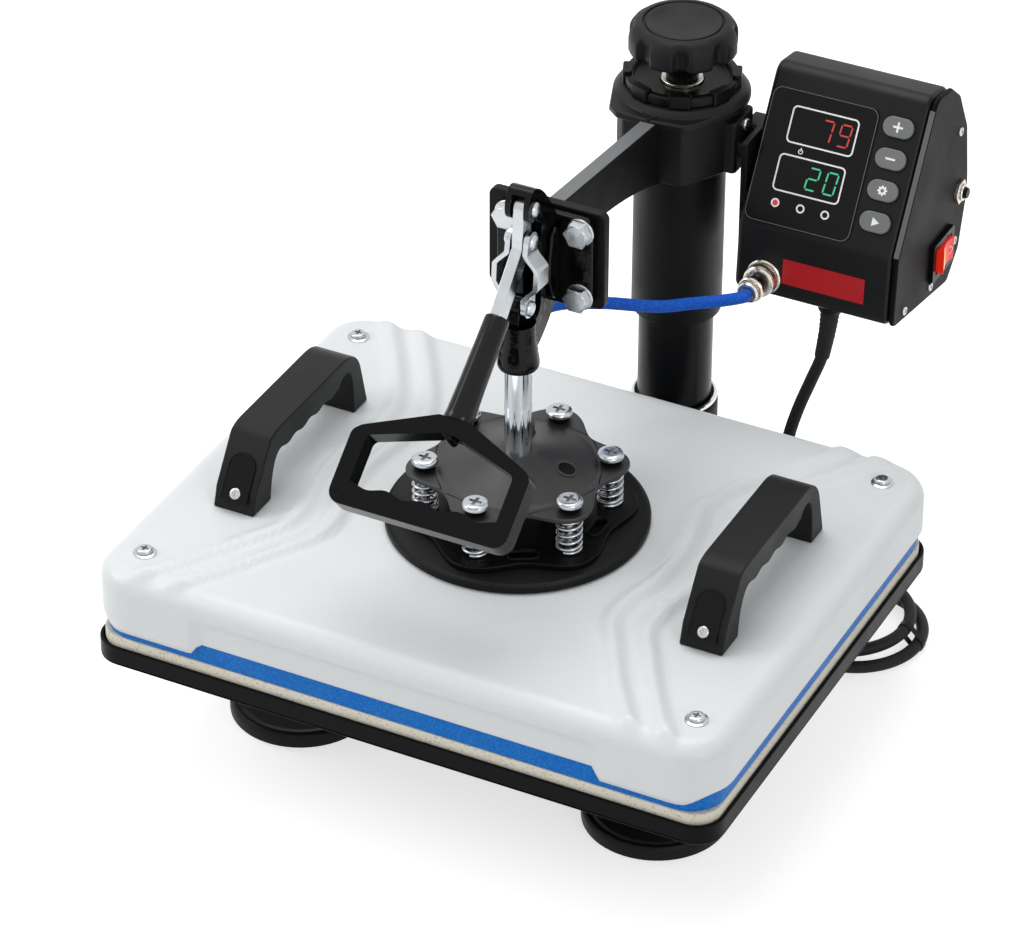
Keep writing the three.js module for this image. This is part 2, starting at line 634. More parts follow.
add(turningHead, "swing_arm", headArm(), blackCoat);

// Clamp frame: flange, two cheeks under a hood, and the nose that holds the rod's guide

const flangeBackY = clamp.flangeY + clamp.flange;
const guideTopZ = guideZ + guide.length;
const spigotRadius = rod.radius + guide.running + guide.wall;
const cheekWidth = clamp.slot + 2 * clamp.cheek;

function cheekOutline() {
  const { cheekFront, flangeY, pivotY, lobe, hoodRise, hood, flange } = clamp;
  const inFlange = flangeY + flange / 2;
  const hoodHeight = hoodRise + hood;
  const noseZ = guideZ + guide.collar + seat;
  const side = new THREE.Shape();
  side.moveTo(inFlange, hangerMiddleZ - clamp.flangeHeight / 2 + flange);
  side.quadraticCurveTo(cheekFront, noseZ, 0, noseZ);
  side.lineTo(0, guideTopZ - flange / 3);
  side.quadraticCurveTo(cheekFront, guideTopZ - flange / 3, cheekFront, linkPinZ);
  side.lineTo(cheekFront, pivotZ - 2 * lobe);
  side.quadraticCurveTo(cheekFront, pivotZ - lobe, pivotY, pivotZ - lobe);
  side.absarc(pivotY, pivotZ, lobe, -Math.PI / 2, -Math.PI, true);
  side.absellipse(pivotY, pivotZ, lobe, hoodHeight, Math.PI, Math.PI / 2, true);
  side.quadraticCurveTo(flangeY - hood, pivotZ + hoodHeight, inFlange,
    hangerMiddleZ + clamp.flangeHeight / 2 - flange);
  return side;
}

function clampFrame() {
  const { slot, flangeY, flange, pivotY, hoodRise, flangeHeight } = clamp;
  const flangeShape = roundedRect(clamp.flangeWidth, flangeHeight, clamp.flangeCorner, 0, flangeHeight / 2);
  const flangeZ = hangerMiddleZ - flangeHeight / 2;
  let whole = push(flangeShape, flange, alongMinusY(0, flangeBackY, flangeZ), { bevel: 0.8 });
  whole = join(whole, push(cheekOutline(), cheekWidth, alongX(-cheekWidth / 2, 0, 0),
    { bevel: 0.8, curve: 3 }));
  const noseZ = guideZ + guide.collar + seat;
  whole = join(whole, bar(guide.radius, guideTopZ - noseZ, upright(0, 0, noseZ), { sides: 10 }));
  const slotBackY = flangeY - flange / 3;
  const gapZ = guideTopZ - flange / 3;
  const gap = block(slot, 2 * slotBackY, pivotZ + hoodRise - gapZ, 0, 0, gapZ);
  const bore = bar(spigotRadius + seat, guide.length + 2 * over, upright(0, 0, guideZ - over),
    { sides: 14 });
  const pinHole = bar(clamp.pinRadius + seat, cheekWidth + 2 * over,
    alongX(-cheekWidth / 2 - over, pivotY, pivotZ), { sides: 10 });
  whole = cut(whole, gap, bore, pinHole);
  for (const [x, z] of boltPlaces) whole = join(whole, hangerBolt(x, z));
  return whole;
}

// A hexagon bolt with its washer in front of the flange and its nut behind the hanger plate.
function hangerBolt(x, z) {
  const { radius, head, washer, washerThick, shank } = bolt;
  const nutY = hangerY + hanger.thick + seat + head;
  const frontY = clamp.flangeY - washerThick;
  const stem = bar(shank, nutY - frontY, alongMinusY(x, nutY, z), { sides: 8 });
  const ring = bar(washer, washerThick + over, alongMinusY(x, clamp.flangeY + over, z), { sides: 10 });
  const hexagon = bar(radius, head + over, alongMinusY(x, frontY + over, z), { sides: 6 });
  const nut = bar(radius, head, alongMinusY(x, nutY, z), { sides: 6 });
  return join(stem, ring, hexagon, nut);
}

add(turningHead, "clamp_frame", clampFrame(), gloss);

add(turningHead, "rod_guide", turned([
  [rod.radius + guide.running, 0], [guide.collarRadius - 1, 0], [guide.collarRadius,
    1], [guide.collarRadius, guide.collar],
  [spigotRadius, guide.collar], [spigotRadius, guide.length], [rod.radius + guide.running, guide.length],
  [rod.radius + guide.running, 0],
], upright(0, 0, guideZ), 14), plastic);

// A rivet along X with a flat head at both ends.
function rivetPin(halfLength, y, z) {
  const stem = bar(clamp.pinRadius, 2 * halfLength, alongX(-halfLength, y, z), { sides: 10 });
  const near = bar(rivet.headRadius, rivet.head, alongX(halfLength, y, z),
    { sides: 10, end: clamp.pinRadius });
  const far = bar(clamp.pinRadius, rivet.head, alongX(-halfLength - rivet.head, y, z),
    { sides: 10, end: rivet.headRadius });
  return join(stem, near, far);
}

add(turningHead, "lever_pin", rivetPin(cheekWidth / 2 + seat, clamp.pivotY, pivotZ), zinc);

// Plunger rod with its flat tongue, and the pin that carries the links

function plungerRod() {
  const bottom = hubTopZ - rod.sink;
  const shoulder = guideTopZ - clamp.tongue;
  const { tongue, tongueWidth, pinRadius } = clamp;
  const round = bar(rod.radius, shoulder - bottom, upright(0, 0, bottom), { sides: 10 });
  const top = linkPinZ - shoulder;
  const flat = new THREE.Shape();
  flat.moveTo(-tongueWidth / 2, -over);
  flat.lineTo(tongueWidth / 2, -over);
  flat.lineTo(tongueWidth / 2, top);
  flat.absarc(0, top, tongueWidth / 2, 0, Math.PI);
  const blade = push(flat, tongue, alongX(-tongue / 2, 0, shoulder), { curve: 4 });
  const hole = bar(pinRadius + seat, tongue + 2 * over, alongX(-tongue / 2 - over, 0, linkPinZ),
    { sides: 10 });
  return cut(join(round, blade), hole);
}

add(turningHead, "plunger_rod", plungerRod(), chrome);

const linkInner = clamp.tongue / 2 + link.side;
add(turningHead, "link_pin", bar(clamp.pinRadius, clamp.tongue, alongX(-clamp.tongue / 2, 0, linkPinZ),
  { sides: 10 }), zinc);

// Links: a strap on each side, cranked outwards between its two round ends

function linkStrap(side) {
  const { thick, width, bulge, bossRadius } = link;
  const length = clamp.linkLength;
  const lean = Math.atan2(elbowY, elbowZ - linkPinZ);
  const ramp = bulge;
  const flatEnd = bossRadius + 1;
  const section = outline([
    [0, -bossRadius], [0, flatEnd], [bulge, flatEnd + ramp], [bulge, length - flatEnd - ramp], [0,
      length - flatEnd],
    [0, length + bossRadius], [thick, length + bossRadius], [thick, length - flatEnd + thick / 2],
    [bulge + thick, length - flatEnd - ramp + thick / 2], [bulge + thick, flatEnd + ramp - thick / 2],
    [thick, flatEnd - thick / 2], [thick, -bossRadius],
  ]);
  const strap = push(section, width, alongMinusY(0, width / 2, 0));
  const face = new THREE.Shape();
  face.absarc(0, 0, bossRadius, Math.PI, 2 * Math.PI);
  face.lineTo(width / 2, flatEnd + ramp);
  face.lineTo(width / 2, length - flatEnd - ramp);
  face.lineTo(bossRadius, length);
  face.absarc(0, length, bossRadius, 0, Math.PI);
  face.lineTo(-width / 2, length - flatEnd - ramp);
  face.lineTo(-width / 2, flatEnd + ramp);
  const trim = push(face, bulge + thick + 2 * over, alongX(-over, 0, 0), { curve: 4 });
  let whole = strap.intersect(trim);
  // Half of the link pin at the foot stops at the tongue; half of the elbow pin goes into the lever bar.
  const halves = [[0, linkInner - clamp.tongue / 2 - seat], [length, linkInner - seat / 2]];
  for (const [z, reach] of halves) {
    const stub = bar(clamp.pinRadius, reach + thick, alongX(-reach, 0, z), { sides: 10 });
    const head = bar(rivet.headRadius, rivet.head + seat, alongX(thick - seat, 0, z),
      { sides: 10, end: clamp.pinRadius });
    whole = join(whole, stub, head);
  }
  const place = new THREE.Matrix4().makeTranslation(0, 0, linkPinZ);
  place.multiply(new THREE.Matrix4().makeRotationX(-lean));
  place.multiply(new THREE.Matrix4().makeTranslation(linkInner, 0, 0));
  const right = whole.transform(place.elements);
  return side > 0 ? right : right.mirror([1, 0, 0]);
}

add(turningHead, "link_left", linkStrap(-1), zinc);
add(turningHead, "link_right", linkStrap(1), zinc);

// Lever: a flat bar with a lobe for the links, a core inside the grip, the grip and the pull handle

// A frame on the lever's middle plane whose second axis runs down the lever, leaning towards the operator.
function leaning(degrees, y, z) {
  return new THREE.Matrix4().makeTranslation(0, y, z).multiply(
    new THREE.Matrix4().makeRotationX(Math.PI / 2 - THREE.MathUtils.degToRad(degrees)),
  );
}

const barLean = THREE.MathUtils.degToRad(lever.barLean);
const gripLean = THREE.MathUtils.degToRad(lever.gripLean);
const gripStartY = clamp.pivotY - lever.barLength * Math.sin(barLean);
const gripStartZ = pivotZ - lever.barLength * Math.cos(barLean);
const handleY = gripStartY - lever.gripLength * Math.sin(gripLean);
const handleZ = gripStartZ - lever.gripLength * Math.cos(gripLean);
const alongGrip = (distance) => {
  const y = gripStartY - distance * Math.sin(gripLean);
  const z = gripStartZ - distance * Math.cos(gripLean);
  return new THREE.Matrix4().makeTranslation(0, y,
    z).multiply(new THREE.Matrix4().makeRotationX(Math.PI - gripLean));
};

// A flat bar with round ends between two points of the side plane.
function flatBar(thick, radius, [y1, z1], [y2, z2]) {
  const turn = Math.atan2(z2 - z1, y2 - y1);
  const shape = new THREE.Shape();
  shape.absarc(y1, z1, radius, turn + Math.PI / 2, turn + 1.5 * Math.PI);
  shape.absarc(y2, z2, radius, turn - Math.PI / 2, turn + Math.PI / 2);
  return push(shape, thick, alongX(-thick / 2, 0, 0), { curve: 4 });
}

function leverBar() {
  const { bar: thick, barRadius, coreRadius, gripLength } = lever;
  const pivot = [clamp.pivotY, pivotZ];
  const elbow = [elbowY, elbowZ];
  const half = [(clamp.pivotY + gripStartY) / 2, (pivotZ + gripStartZ) / 2];
  let whole = flatBar(thick, barRadius, pivot, [gripStartY, gripStartZ]);
  whole = join(whole, flatBar(thick, barRadius, pivot, elbow));
  whole = join(whole, push(outline([pivot, elbow, half]), thick, alongX(-thick / 2, 0, 0)));
  whole = join(whole, bar(coreRadius, gripLength + pull.neck, alongGrip(0), { sides: 10 }));
  for (const [y, z] of [pivot, elbow]) {
    whole = cut(whole, bar(clamp.pinRadius + seat, thick + 2 * over, alongX(-thick / 2 - over, y, z),
      { sides: 10 }));
  }
  return whole;
}

add(turningHead, "lever_bar", leverBar(), zinc);

const gripGap = lever.barRadius + 2 * seat;
function leverGrip() {
  const length = lever.gripLength - gripGap - seat;
  const bore = lever.coreRadius + seat;
  return turned([
    [bore, 0], [lever.gripRadius - 1, 0], [lever.gripRadius, 1], [lever.gripFlare, length], [bore,
      length], [bore, 0],
  ], alongGrip(gripGap), 16);
}

add(turningHead, "lever_grip", leverGrip(), plastic);

// Points along the wavy finger edge, from left to right.
function fingerEdge(halfWidth, v) {
  const steps = 4 * pull.waves;
  return Array.from({ length: steps + 1 }, (_, i) => {
    const share = i / steps;
    const rise = pull.wave * 0.5 * (1 - Math.cos(2 * Math.PI * pull.waves * share));
    return new THREE.Vector2(-halfWidth + 2 * halfWidth * share, v + rise);
  });
}

function pullHandle() {
  const { halfWidth, shoulder, depth, bar: barWidth, side, thick, corner, neck, edge } = pull;
  const outer = new THREE.Shape();
  outer.moveTo(neck, 0);
  outer.lineTo(halfWidth - corner, shoulder - 1);
  outer.quadraticCurveTo(halfWidth, shoulder + 1, halfWidth, shoulder + corner);
  outer.lineTo(halfWidth, depth - corner);
  outer.quadraticCurveTo(halfWidth, depth, halfWidth - corner, depth);
  outer.lineTo(-halfWidth + corner, depth);
  outer.quadraticCurveTo(-halfWidth, depth, -halfWidth, depth - corner);
  outer.lineTo(-halfWidth, shoulder + corner);
  outer.quadraticCurveTo(-halfWidth, shoulder + 1, -halfWidth + corner, shoulder - 1);
  outer.lineTo(-neck, 0);
  const inside = halfWidth - side;
  const hole = new THREE.Path();
  hole.moveTo(neck / 2, barWidth + 1);
  hole.lineTo(inside, shoulder + barWidth - 4);
  hole.lineTo(inside, depth - barWidth - pull.wave);
  fingerEdge(inside, depth - barWidth - pull.wave).reverse().forEach((point) => hole.lineTo(point.x,
    point.y));
  hole.lineTo(-inside, shoulder + barWidth - 4);
  hole.lineTo(-neck / 2, barWidth + 1);
  outer.holes.push(hole);
  const frame = alongGrip(lever.gripLength).multiply(
    new THREE.Matrix4().set(1, 0, 0, 0, 0, 0, -1, thick / 2, 0, 1, 0, 0, 0, 0, 0, 1),
  );
  const socketHole = bar(lever.coreRadius + seat, neck + seat + over, alongGrip(lever.gripLength - over),
    { sides: 10 });
  return cut(push(outer, thick, frame, { bevel: edge, curve: 5 }), socketHole);
}

add(turningHead, "pull_handle", pullHandle(), gloss);

// Platen cover: a pressed shell with a skirt that hangs lower at its corners

const coverWidth = plate.width + 2 * cover.margin;
const coverDepth = plate.depth + 2 * cover.margin;
const skirtZ = coverFloorZ - cover.skirt;

// A shell form with a rounded shoulder, drawn as rings that close in towards the top.
function coverForm(inset, bottom, top, round) {
  const steps = 3;
  const ring = (closer, z) => rectRing(
    coverWidth - 2 * (inset + closer), coverDepth - 2 * (inset + closer), cover.corner - inset - 0.6 * closer, 3,
  ).map((point) => new THREE.Vector3(point.x, point.y, z));
  const rings = [ring(0, bottom)];
  for (let i = 0; i <= steps; i++) {
    const turn = (i / steps) * (Math.PI / 2);
    rings.push(ring(round * (1 - Math.cos(turn)), top - round * (1 - Math.sin(turn))));
  }
  return skin(rings);
}

// A band of one width along a smooth run of points.
function band(points, width) {
  const line = new THREE.SplineCurve(points.map(([x, y]) => new THREE.Vector2(x, y)));
  const count = 11;
  const edge = (side) => Array.from({ length: count + 1 }, (_, i) => {
    const ahead = line.getTangentAt(i / count);
    const point = line.getPointAt(i / count);
    return new THREE.Vector2(point.x - (side * ahead.y * width) / 2, point.y + (side * ahead.x * width) / 2);
  });
  return new THREE.Shape([...edge(-1), ...edge(1).reverse()]);
}

function platenCover() {
  const { wall, margin, round, sideLift, recess, cornerRun, shoulder, bossRadius } = cover;
  const screwX = plate.width / 2 - cover.screwInX;
  const screwY = plate.depth / 2 - cover.screwInY;
  let whole = cut(
    coverForm(0, skirtZ, coverTopZ, round),
    coverForm(wall, skirtZ - over, coverTopZ - wall, round - wall),
  );
  const [halfWidth, halfDepth] = [coverWidth / 2, coverDepth / 2];
  const recessHeight = coverTopZ - shoulder - skirtZ + over;
  const liftHeight = sideLift + over;
  for (const side of [-1, 1]) {
    const alongFront = coverWidth - 2 * cornerRun;
    const alongSide = coverDepth - 2 * cornerRun;
    const outY = side * (halfDepth - recess + halfDepth / 2);
    const outX = side * (halfWidth - recess + halfWidth / 2);
    whole = cut(
      whole,
      block(alongFront, halfDepth, recessHeight, 0, outY, skirtZ - over),
      block(halfWidth, alongSide, recessHeight, outX, 0, skirtZ - over),
      block(alongFront, 2 * coverDepth, liftHeight, 0, 0, skirtZ - over),
      block(2 * coverWidth, alongSide, liftHeight, 0, 0, skirtZ - over),
    );
  }
  const topInside = coverTopZ - wall;
  const { ribRise, ribWidth, ribPitch, waistY } = cover;
  const ribFlare = plate.width / 2 - cover.ribFlareIn;
  const ribWaist = disc.radius + cover.ribWaistOut;
  const ribBelly = disc.radius + cover.ribBellyOut;
  const endY = halfDepth - round / 2;
  for (const side of [-1, 1]) {
    for (const x of [0, ribPitch]) {
      const path = [
        [ribFlare, -endY], [(ribFlare + ribWaist) / 2, -(endY + waistY) / 2 - margin], [ribWaist + 1,
          -waistY - margin],
        [ribWaist + 2, -waistY + 2 * margin], [ribBelly, 0], [ribWaist + 2, waistY - 2 * margin],
        [ribWaist + 1, waistY + margin], [(ribFlare + ribWaist) / 2,
          (endY + waistY) / 2 + margin], [ribFlare, endY],
      ].map(([along, y]) => [side * (along + x * (Math.abs(y) < endY ? 1 : 0.8)), y]);
      const ridge = push(band(path, ribWidth), wall + ribRise, upright(0, 0, topInside), { bevel: ribRise });
      whole = join(whole, ridge);
    }
  }
  for (const x of [-screwX, screwX]) {
    for (const y of [-screwY, screwY]) {
      whole = join(whole, bar(bossRadius, coverTopZ - wall / 2 - coverFloorZ, upright(x, y, coverFloorZ),
        { sides: 12 }));
    }
  }
  return whole;
}

add(turningHead, "platen_cover", platenCover(), whiteCoat);

function heatPlaten() {
  const slab = push(
    roundedRect(plate.width, plate.depth, plate.corner), plate.thick, upright(0, 0, plateZ), { bevel: 1 },
  );
  const probe = bar(bolt.shank, 3 * bolt.shank,
    alongMinusY(0, plate.depth / 2 + over, plateZ + plate.thick / 2));
  return cut(slab, probe);
}

add(turningHead, "heat_platen", heatPlaten(), blueCoat);

add(turningHead, "mounting_disc", turned([
  [0, 0], [disc.radius, 0], [disc.radius, disc.thick - disc.bevel], [disc.radius - disc.bevel,
    disc.thick], [0, disc.thick],
], upright(0, 0, discZ), 30), blackCoat);

// Wavy plate with the six spring screws

const springTurns = Array.from({ length: spring.count },
  (_, i) => Math.PI / 2 - (2 * Math.PI * i) / spring.count);
const screwTopZ = spiderTopZ + screw.proud + screw.head;

// A closed outline whose radius swells towards each spring.
function wavyOutline(mean, swell, sharp = 1) {
  const steps = 6 * spring.count;
  return new THREE.Shape(Array.from({ length: steps }, (_, i) => {
    const turn = (2 * Math.PI * i) / steps;
    const wave = Math.cos(spring.count * (turn - springTurns[0]));
    const reach = mean + swell * Math.sign(wave) * Math.abs(wave) ** sharp;
    return new THREE.Vector2(reach * Math.cos(turn), reach * Math.sin(turn));
  }));
}

function starPlate() {
  const { radius, wave, thick, slotLength, slotWidth, slotRadius } = star;
  let whole = push(wavyOutline(radius, wave), thick, upright(0, 0, starZ));
  for (const turn of springTurns) {
    const slotTurn = turn + Math.PI / spring.count;
    const frame = new THREE.Matrix4().makeRotationZ(slotTurn);
    frame.multiply(new THREE.Matrix4().makeTranslation(slotRadius, 0, starZ - over));
    const slot = roundedRect(slotWidth, slotLength, slotWidth / 4);
    whole = cut(whole, push(slot, thick + 2 * over, frame, { curve: 1 }));
  }
  for (const turn of springTurns) {
    const [x, y] = [spring.circle * Math.cos(turn), spring.circle * Math.sin(turn)];
    whole = join(whole, turned([
      [0, -over], [screw.shank, -over], [screw.shank, spiderTopZ + seat - springZ], [screw.neckRadius,
        spiderTopZ + seat - springZ],
      [screw.neckRadius, spiderTopZ + screw.proud - springZ], [screw.headRadius,
        spiderTopZ + screw.proud - springZ],
      [screw.headRadius - 0.8, screwTopZ - springZ], [0, screwTopZ - springZ],
    ], upright(x, y, springZ), 8));
  }
  return whole;
}

add(turningHead, "star_plate", starPlate(), blackCoat);

// Six compression springs, each one tube along a formula with flattened ends

function springCourse() {
  const { curls, radius, wire, length, flat } = spring;
  const rise = length - 2 * wire;
  const steps = 8 * curls;
  return Array.from({ length: steps + 1 }, (_, i) => {
    const done = i / 8;
    const turn = 2 * Math.PI * done;
    const share = THREE.MathUtils.clamp((done - flat) / (curls - 2 * flat), 0, 1);
    return new THREE.Vector3(radius * Math.cos(turn), radius * Math.sin(turn), wire + rise * share);
  });
}

const springPoints = springCourse();
console.log("springs: least gap between curls", ownGap(springPoints, spring.wire, 6).toFixed(2), "mm");
springTurns.forEach((turn, i) => {
  const centre = new THREE.Vector3(spring.circle * Math.cos(turn), spring.circle * Math.sin(turn), springZ);
  const points = springPoints.map((point) => point.clone().add(centre));
  add(turningHead, "spring_" + (i + 1), sweep(points, spring.wire, 5, new THREE.Vector3(1, 0, 0)), zinc);
});

// Spider: the sprung levelling plate on the foot of the plunger rod

function spiderPlate() {
  const { thick, lobeRadius, waist, dome, domeRadius, hubRadius, hub, sheet, hole, holeX, holeY } = spider;
  const middle = (spring.circle + lobeRadius + waist) / 2;
  const flat = wavyOutline(middle, middle - waist, 0.8);
  let whole = push(flat, thick, upright(0, 0, spiderZ));
  whole = join(whole, turned([
    [0, 0], [domeRadius, 0], [domeRadius, thick], [domeRadius - 3, thick + 1], [hubRadius + 5, dome - 2],
    [hubRadius, dome], [hubRadius - 1, thick + hub], [0, thick + hub],
  ], upright(0, 0, spiderZ), 16));
  whole = cut(whole, turned([
    [0, -over], [domeRadius - sheet, -over], [domeRadius - sheet - 1, 1], [hubRadius + 4, dome - 2 - sheet],
    [0, dome - 2 - sheet],
  ], upright(0, 0, spiderZ), 16));
  const { socketX, socketY, socketRadius, rise, radius } = heaterCable;
  const socketFoot = upright(socketX, socketY, spiderZ + 1);
  whole = join(whole, bar(socketRadius, thick + hub - 1 + rise, socketFoot, { sides: 10 }));
  const socketHole = thick + hub + rise - sheet;
  whole = cut(whole, bar(radius + 2 * seat, socketHole, upright(socketX, socketY, spiderZ + sheet + 1),
    { sides: 10 }));
  whole = cut(whole, bar(rod.radius + seat, rod.sink + seat + over,
    upright(0, 0, hubTopZ - rod.sink - seat)));
  whole = cut(whole, bar(hole, thick + dome + over, upright(holeX, holeY, spiderZ - over), { sides: 12 }));
  for (const turn of springTurns) {
    const [x, y] = [spring.circle * Math.cos(turn), spring.circle * Math.sin(turn)];
    const screwHole = bar(screw.shank + seat, thick + 2 * over, upright(x, y, spiderZ - over),
      { sides: 10 });
    whole = cut(whole, screwHole);
  }
  return whole;
}

add(turningHead, "spider", spiderPlate(), blackCoat);

// Side handles on the cover

const gripZ = coverTopZ + seat;

function sideHandle(side) {
  const { inset, width, frontY, rearY, height, lean, leg, thick, waves, wave, edge } = grip;
  const x = coverWidth / 2 - inset;
  const shape = new THREE.Shape();
  const [innerFront, innerRear] = [frontY + leg, rearY - leg];
  const under = height - thick;
  shape.moveTo(frontY, 0);
  shape.lineTo(frontY + 0.15 * lean, 0.3 * height);
  shape.lineTo(frontY + 0.85 * lean, height - edge);
  shape.quadraticCurveTo(frontY + lean, height, frontY + lean + 3 * edge, height);
  shape.lineTo(rearY - lean - edge, height);
  shape.quadraticCurveTo(rearY - 0.4 * lean, height, rearY - 0.25 * lean, 0.6 * height);
  shape.lineTo(rearY, 0);
  shape.lineTo(innerRear, 0);
  const reach = innerRear - innerFront - 0.8 * lean;
  const steps = 4 * waves;
  for (let i = 0; i <= steps; i++) {
    const share = i / steps;
    const dip = wave * 0.5 * (1 - Math.cos(2 * Math.PI * waves * share));
    shape.lineTo(innerRear - 0.4 * lean - reach * share, under - dip);
  }
  shape.lineTo(innerFront, 0);
  let whole = push(shape, width, alongX(-width / 2, 0, 0), { bevel: edge, curve: 5 });
  const { pocket, pocketFloor, pocketDeep, pocketHigh, arch, archRise } = grip;
  const mouth = archedOutline(pocket, pocketHigh - pocketFloor);
  const pocketCut = push(mouth, pocketDeep + over, alongMinusY(0, frontY + pocketDeep, pocketFloor),
    { curve: 3 });
  const recess = archedOutline(2 * arch, archRise);
  const recessCut = push(recess, leg, alongMinusY(0, innerRear + leg / 2, -over), { curve: 3 });
  whole = cut(whole, pocketCut, recessCut);
  return whole.translate([side * x, 0, gripZ]);
}

// A doorway outline: straight sides under a half-round top, standing on the origin.
function archedOutline(width, height) {
  const radius = width / 2;
  const shape = new THREE.Shape();
  shape.moveTo(-radius, 0);
  shape.lineTo(radius, 0);
  shape.lineTo(radius, height - radius);
  shape.absarc(0, height - radius, radius, 0, Math.PI);
  return shape;
}

add(turningHead, "side_handle_left", sideHandle(-1), plastic);
add(turningHead, "side_handle_right", sideHandle(1), plastic);

// Control box: a shell open to the right, closed by a side panel

const boxRight = box.left + box.width;
const boxBottomZ = headTopZ - box.hang;
const boxOutline = box.sideOutline.map(([y, z]) => [box.frontY + y, boxBottomZ + z]);

// The same outline moved inwards, its corners kept sharp.
function closer(points, distance) {
  return points.map((point, i) => {
    const before = points[(i + points.length - 1) % points.length];
    const after = points[(i + 1) % points.length];
    const one = new THREE.Vector2(point[0] - before[0], point[1] - before[1]).normalize();
    const two = new THREE.Vector2(after[0] - point[0], after[1] - point[1]).normalize();
    const inwards = new THREE.Vector2(one.y + two.y, -one.x - two.x);
    const scale = (2 * distance) / inwards.lengthSq();
    return [point[0] + inwards.x * scale, point[1] + inwards.y * scale];
  });
}

// Corners replaced by short curves.
function softened(points, radius, steps = 1) {
  return points.flatMap((point, i) => {
    const corner = new THREE.Vector2(...point);
    const towards = (other) => {
      const way = new THREE.Vector2(...other).sub(corner);
      const reach = Math.min(radius, 0.4 * way.length());
      return corner.clone().addScaledVector(way.normalize(), reach);
    };
    const start = towards(points[(i + points.length - 1) % points.length]);
    const end = towards(points[(i + 1) % points.length]);
    return new THREE.QuadraticBezierCurve(start, corner, end).getPoints(steps);
  });
}

const boxRing = (inset, x) => softened(closer(boxOutline, inset), Math.max(box.edge - inset, 1))
  .map((point) => new THREE.Vector3(x, point.x, point.y));

// The face of the slope: across, up the slope, and out of it.
const [kneeBack, kneeUp] = box.sideOutline[1];
const [browBack, browUp] = box.sideOutline[2];
const slope = new THREE.Vector3(0, browBack - kneeBack, browUp - kneeUp).normalize();
const slopeOut = new THREE.Vector3(0, -slope.z, slope.y);
function onSlope(across, up, lift) {
  const matrix = new THREE.Matrix4().makeBasis(new THREE.Vector3(1, 0, 0), slope, slopeOut);
  const origin = new THREE.Vector3(box.left + across, box.frontY + kneeBack, boxBottomZ + kneeUp);
  return matrix.setPosition(origin.addScaledVector(slope, up).addScaledVector(slopeOut, lift));
}

const front = new THREE.Vector3(0, kneeBack, kneeUp).normalize();
const frontOut = new THREE.Vector3(0, -front.z, front.y);
// The lower front face, which leans back a little.
function onFront(across, up, lift) {
  const matrix = new THREE.Matrix4().makeBasis(new THREE.Vector3(1, 0, 0), front, frontOut);
  const origin = new THREE.Vector3(box.left + across, box.frontY, boxBottomZ);
  return matrix.setPosition(origin.addScaledVector(front, up).addScaledVector(frontOut, lift));
}

// The bottom, which falls towards the back: its third axis points down and out.
const [heelBack, heelUp] = box.sideOutline[box.sideOutline.length - 1];
const sole = new THREE.Vector3(0, heelBack, heelUp).normalize();
const soleOut = new THREE.Vector3(0, sole.z, -sole.y);
function onSole(across, back, lift) {
  const matrix = new THREE.Matrix4().makeBasis(new THREE.Vector3(1, 0, 0),
    soleOut.clone().cross(new THREE.Vector3(1, 0, 0)), soleOut);
  const origin = new THREE.Vector3(box.left + across, box.frontY, boxBottomZ);
  return matrix.setPosition(origin.addScaledVector(sole, back).addScaledVector(soleOut, lift));
}

const buttonUps = Array.from({ length: 4 }, (_, i) => button.first + i * button.step);
const shellRight = boxRight - box.side - seat;

function boxShell() {
  const { left, wall, chamfer } = box;
  const outer = skin([
    boxRing(chamfer / 2, left), boxRing(0, left + chamfer / 2), boxRing(0, shellRight - chamfer + box.side),
    boxRing(chamfer - box.side, shellRight),
  ]);
  const rim = chamfer + wall;
  const inner = skin([
    boxRing(wall + chamfer / 2, left + wall), boxRing(wall, left + wall + chamfer / 2), boxRing(wall,
      shellRight - rim),
    boxRing(rim, shellRight - wall), boxRing(rim, shellRight + over),
  ]);
  let whole = cut(outer, inner);
  const backY = column.y + bracket.width / 2;
  const tab = push(
    roundedRect(bracket.width, bracket.height, chamfer), left + wall - head.bossX - seat,
    alongX(head.bossX + seat, backY - bracket.width / 2,
      headZ + (head.height - head.crownDrop) / 2), { bevel: 0.6 },
  );
  whole = join(whole, tab);
  const through = 4 * wall;
  for (const up of buttonUps) {
    const hole = roundedRect(button.width + 2 * seat, button.height + 2 * seat, button.height / 2);
    whole = cut(whole, push(hole, through, onSlope(button.x, up, -through / 2), { curve: 1 }));
  }
  const socketHole = bar(socket.barrel + seat, through, onFront(socket.x, socket.z, -through / 2),
    { sides: 12 });
  const glandHole = bar(gland.spigot + seat, through, onSole(gland.x, gland.y, -through / 2), { sides: 12 });
  return cut(whole, socketHole, glandHole);
}

add(turningHead, "control_box", boxShell(), plastic);

const rockerY = box.frontY + rocker.y;
const rockerZ = boxBottomZ + rocker.z;
const resetY = box.frontY + reset.y;
const resetZ = boxBottomZ + reset.z;

function sidePanel() {
  const { side, chamfer } = box;
  const x = boxRight - side;
  const sheet = skin([boxRing(chamfer, x), boxRing(chamfer, x + side)]);
  const { width, height, rim } = rocker;
  const opening = roundedRect(width - 2 * rim + 2 * seat, height - 2 * rim + 2 * seat, 1);
  const rockerHole = push(opening, side + 2 * over, alongX(x - over, rockerY, rockerZ));
  const collarPart = bar(reset.collar, reset.rise + over, alongX(boxRight - over, resetY, resetZ),
    { sides: 12 });
  const barrel = bar(reset.barrel, reset.proud - 1, alongX(boxRight, resetY, resetZ), { sides: 12 });
  const stemHole = bar(reset.stem + seat, side + reset.proud + 2 * over, alongX(x - over, resetY, resetZ),
    { sides: 10 });
  return cut(join(cut(sheet, rockerHole), collarPart, barrel), stemHole);
}

add(turningHead, "box_side_panel", sidePanel(), plastic);

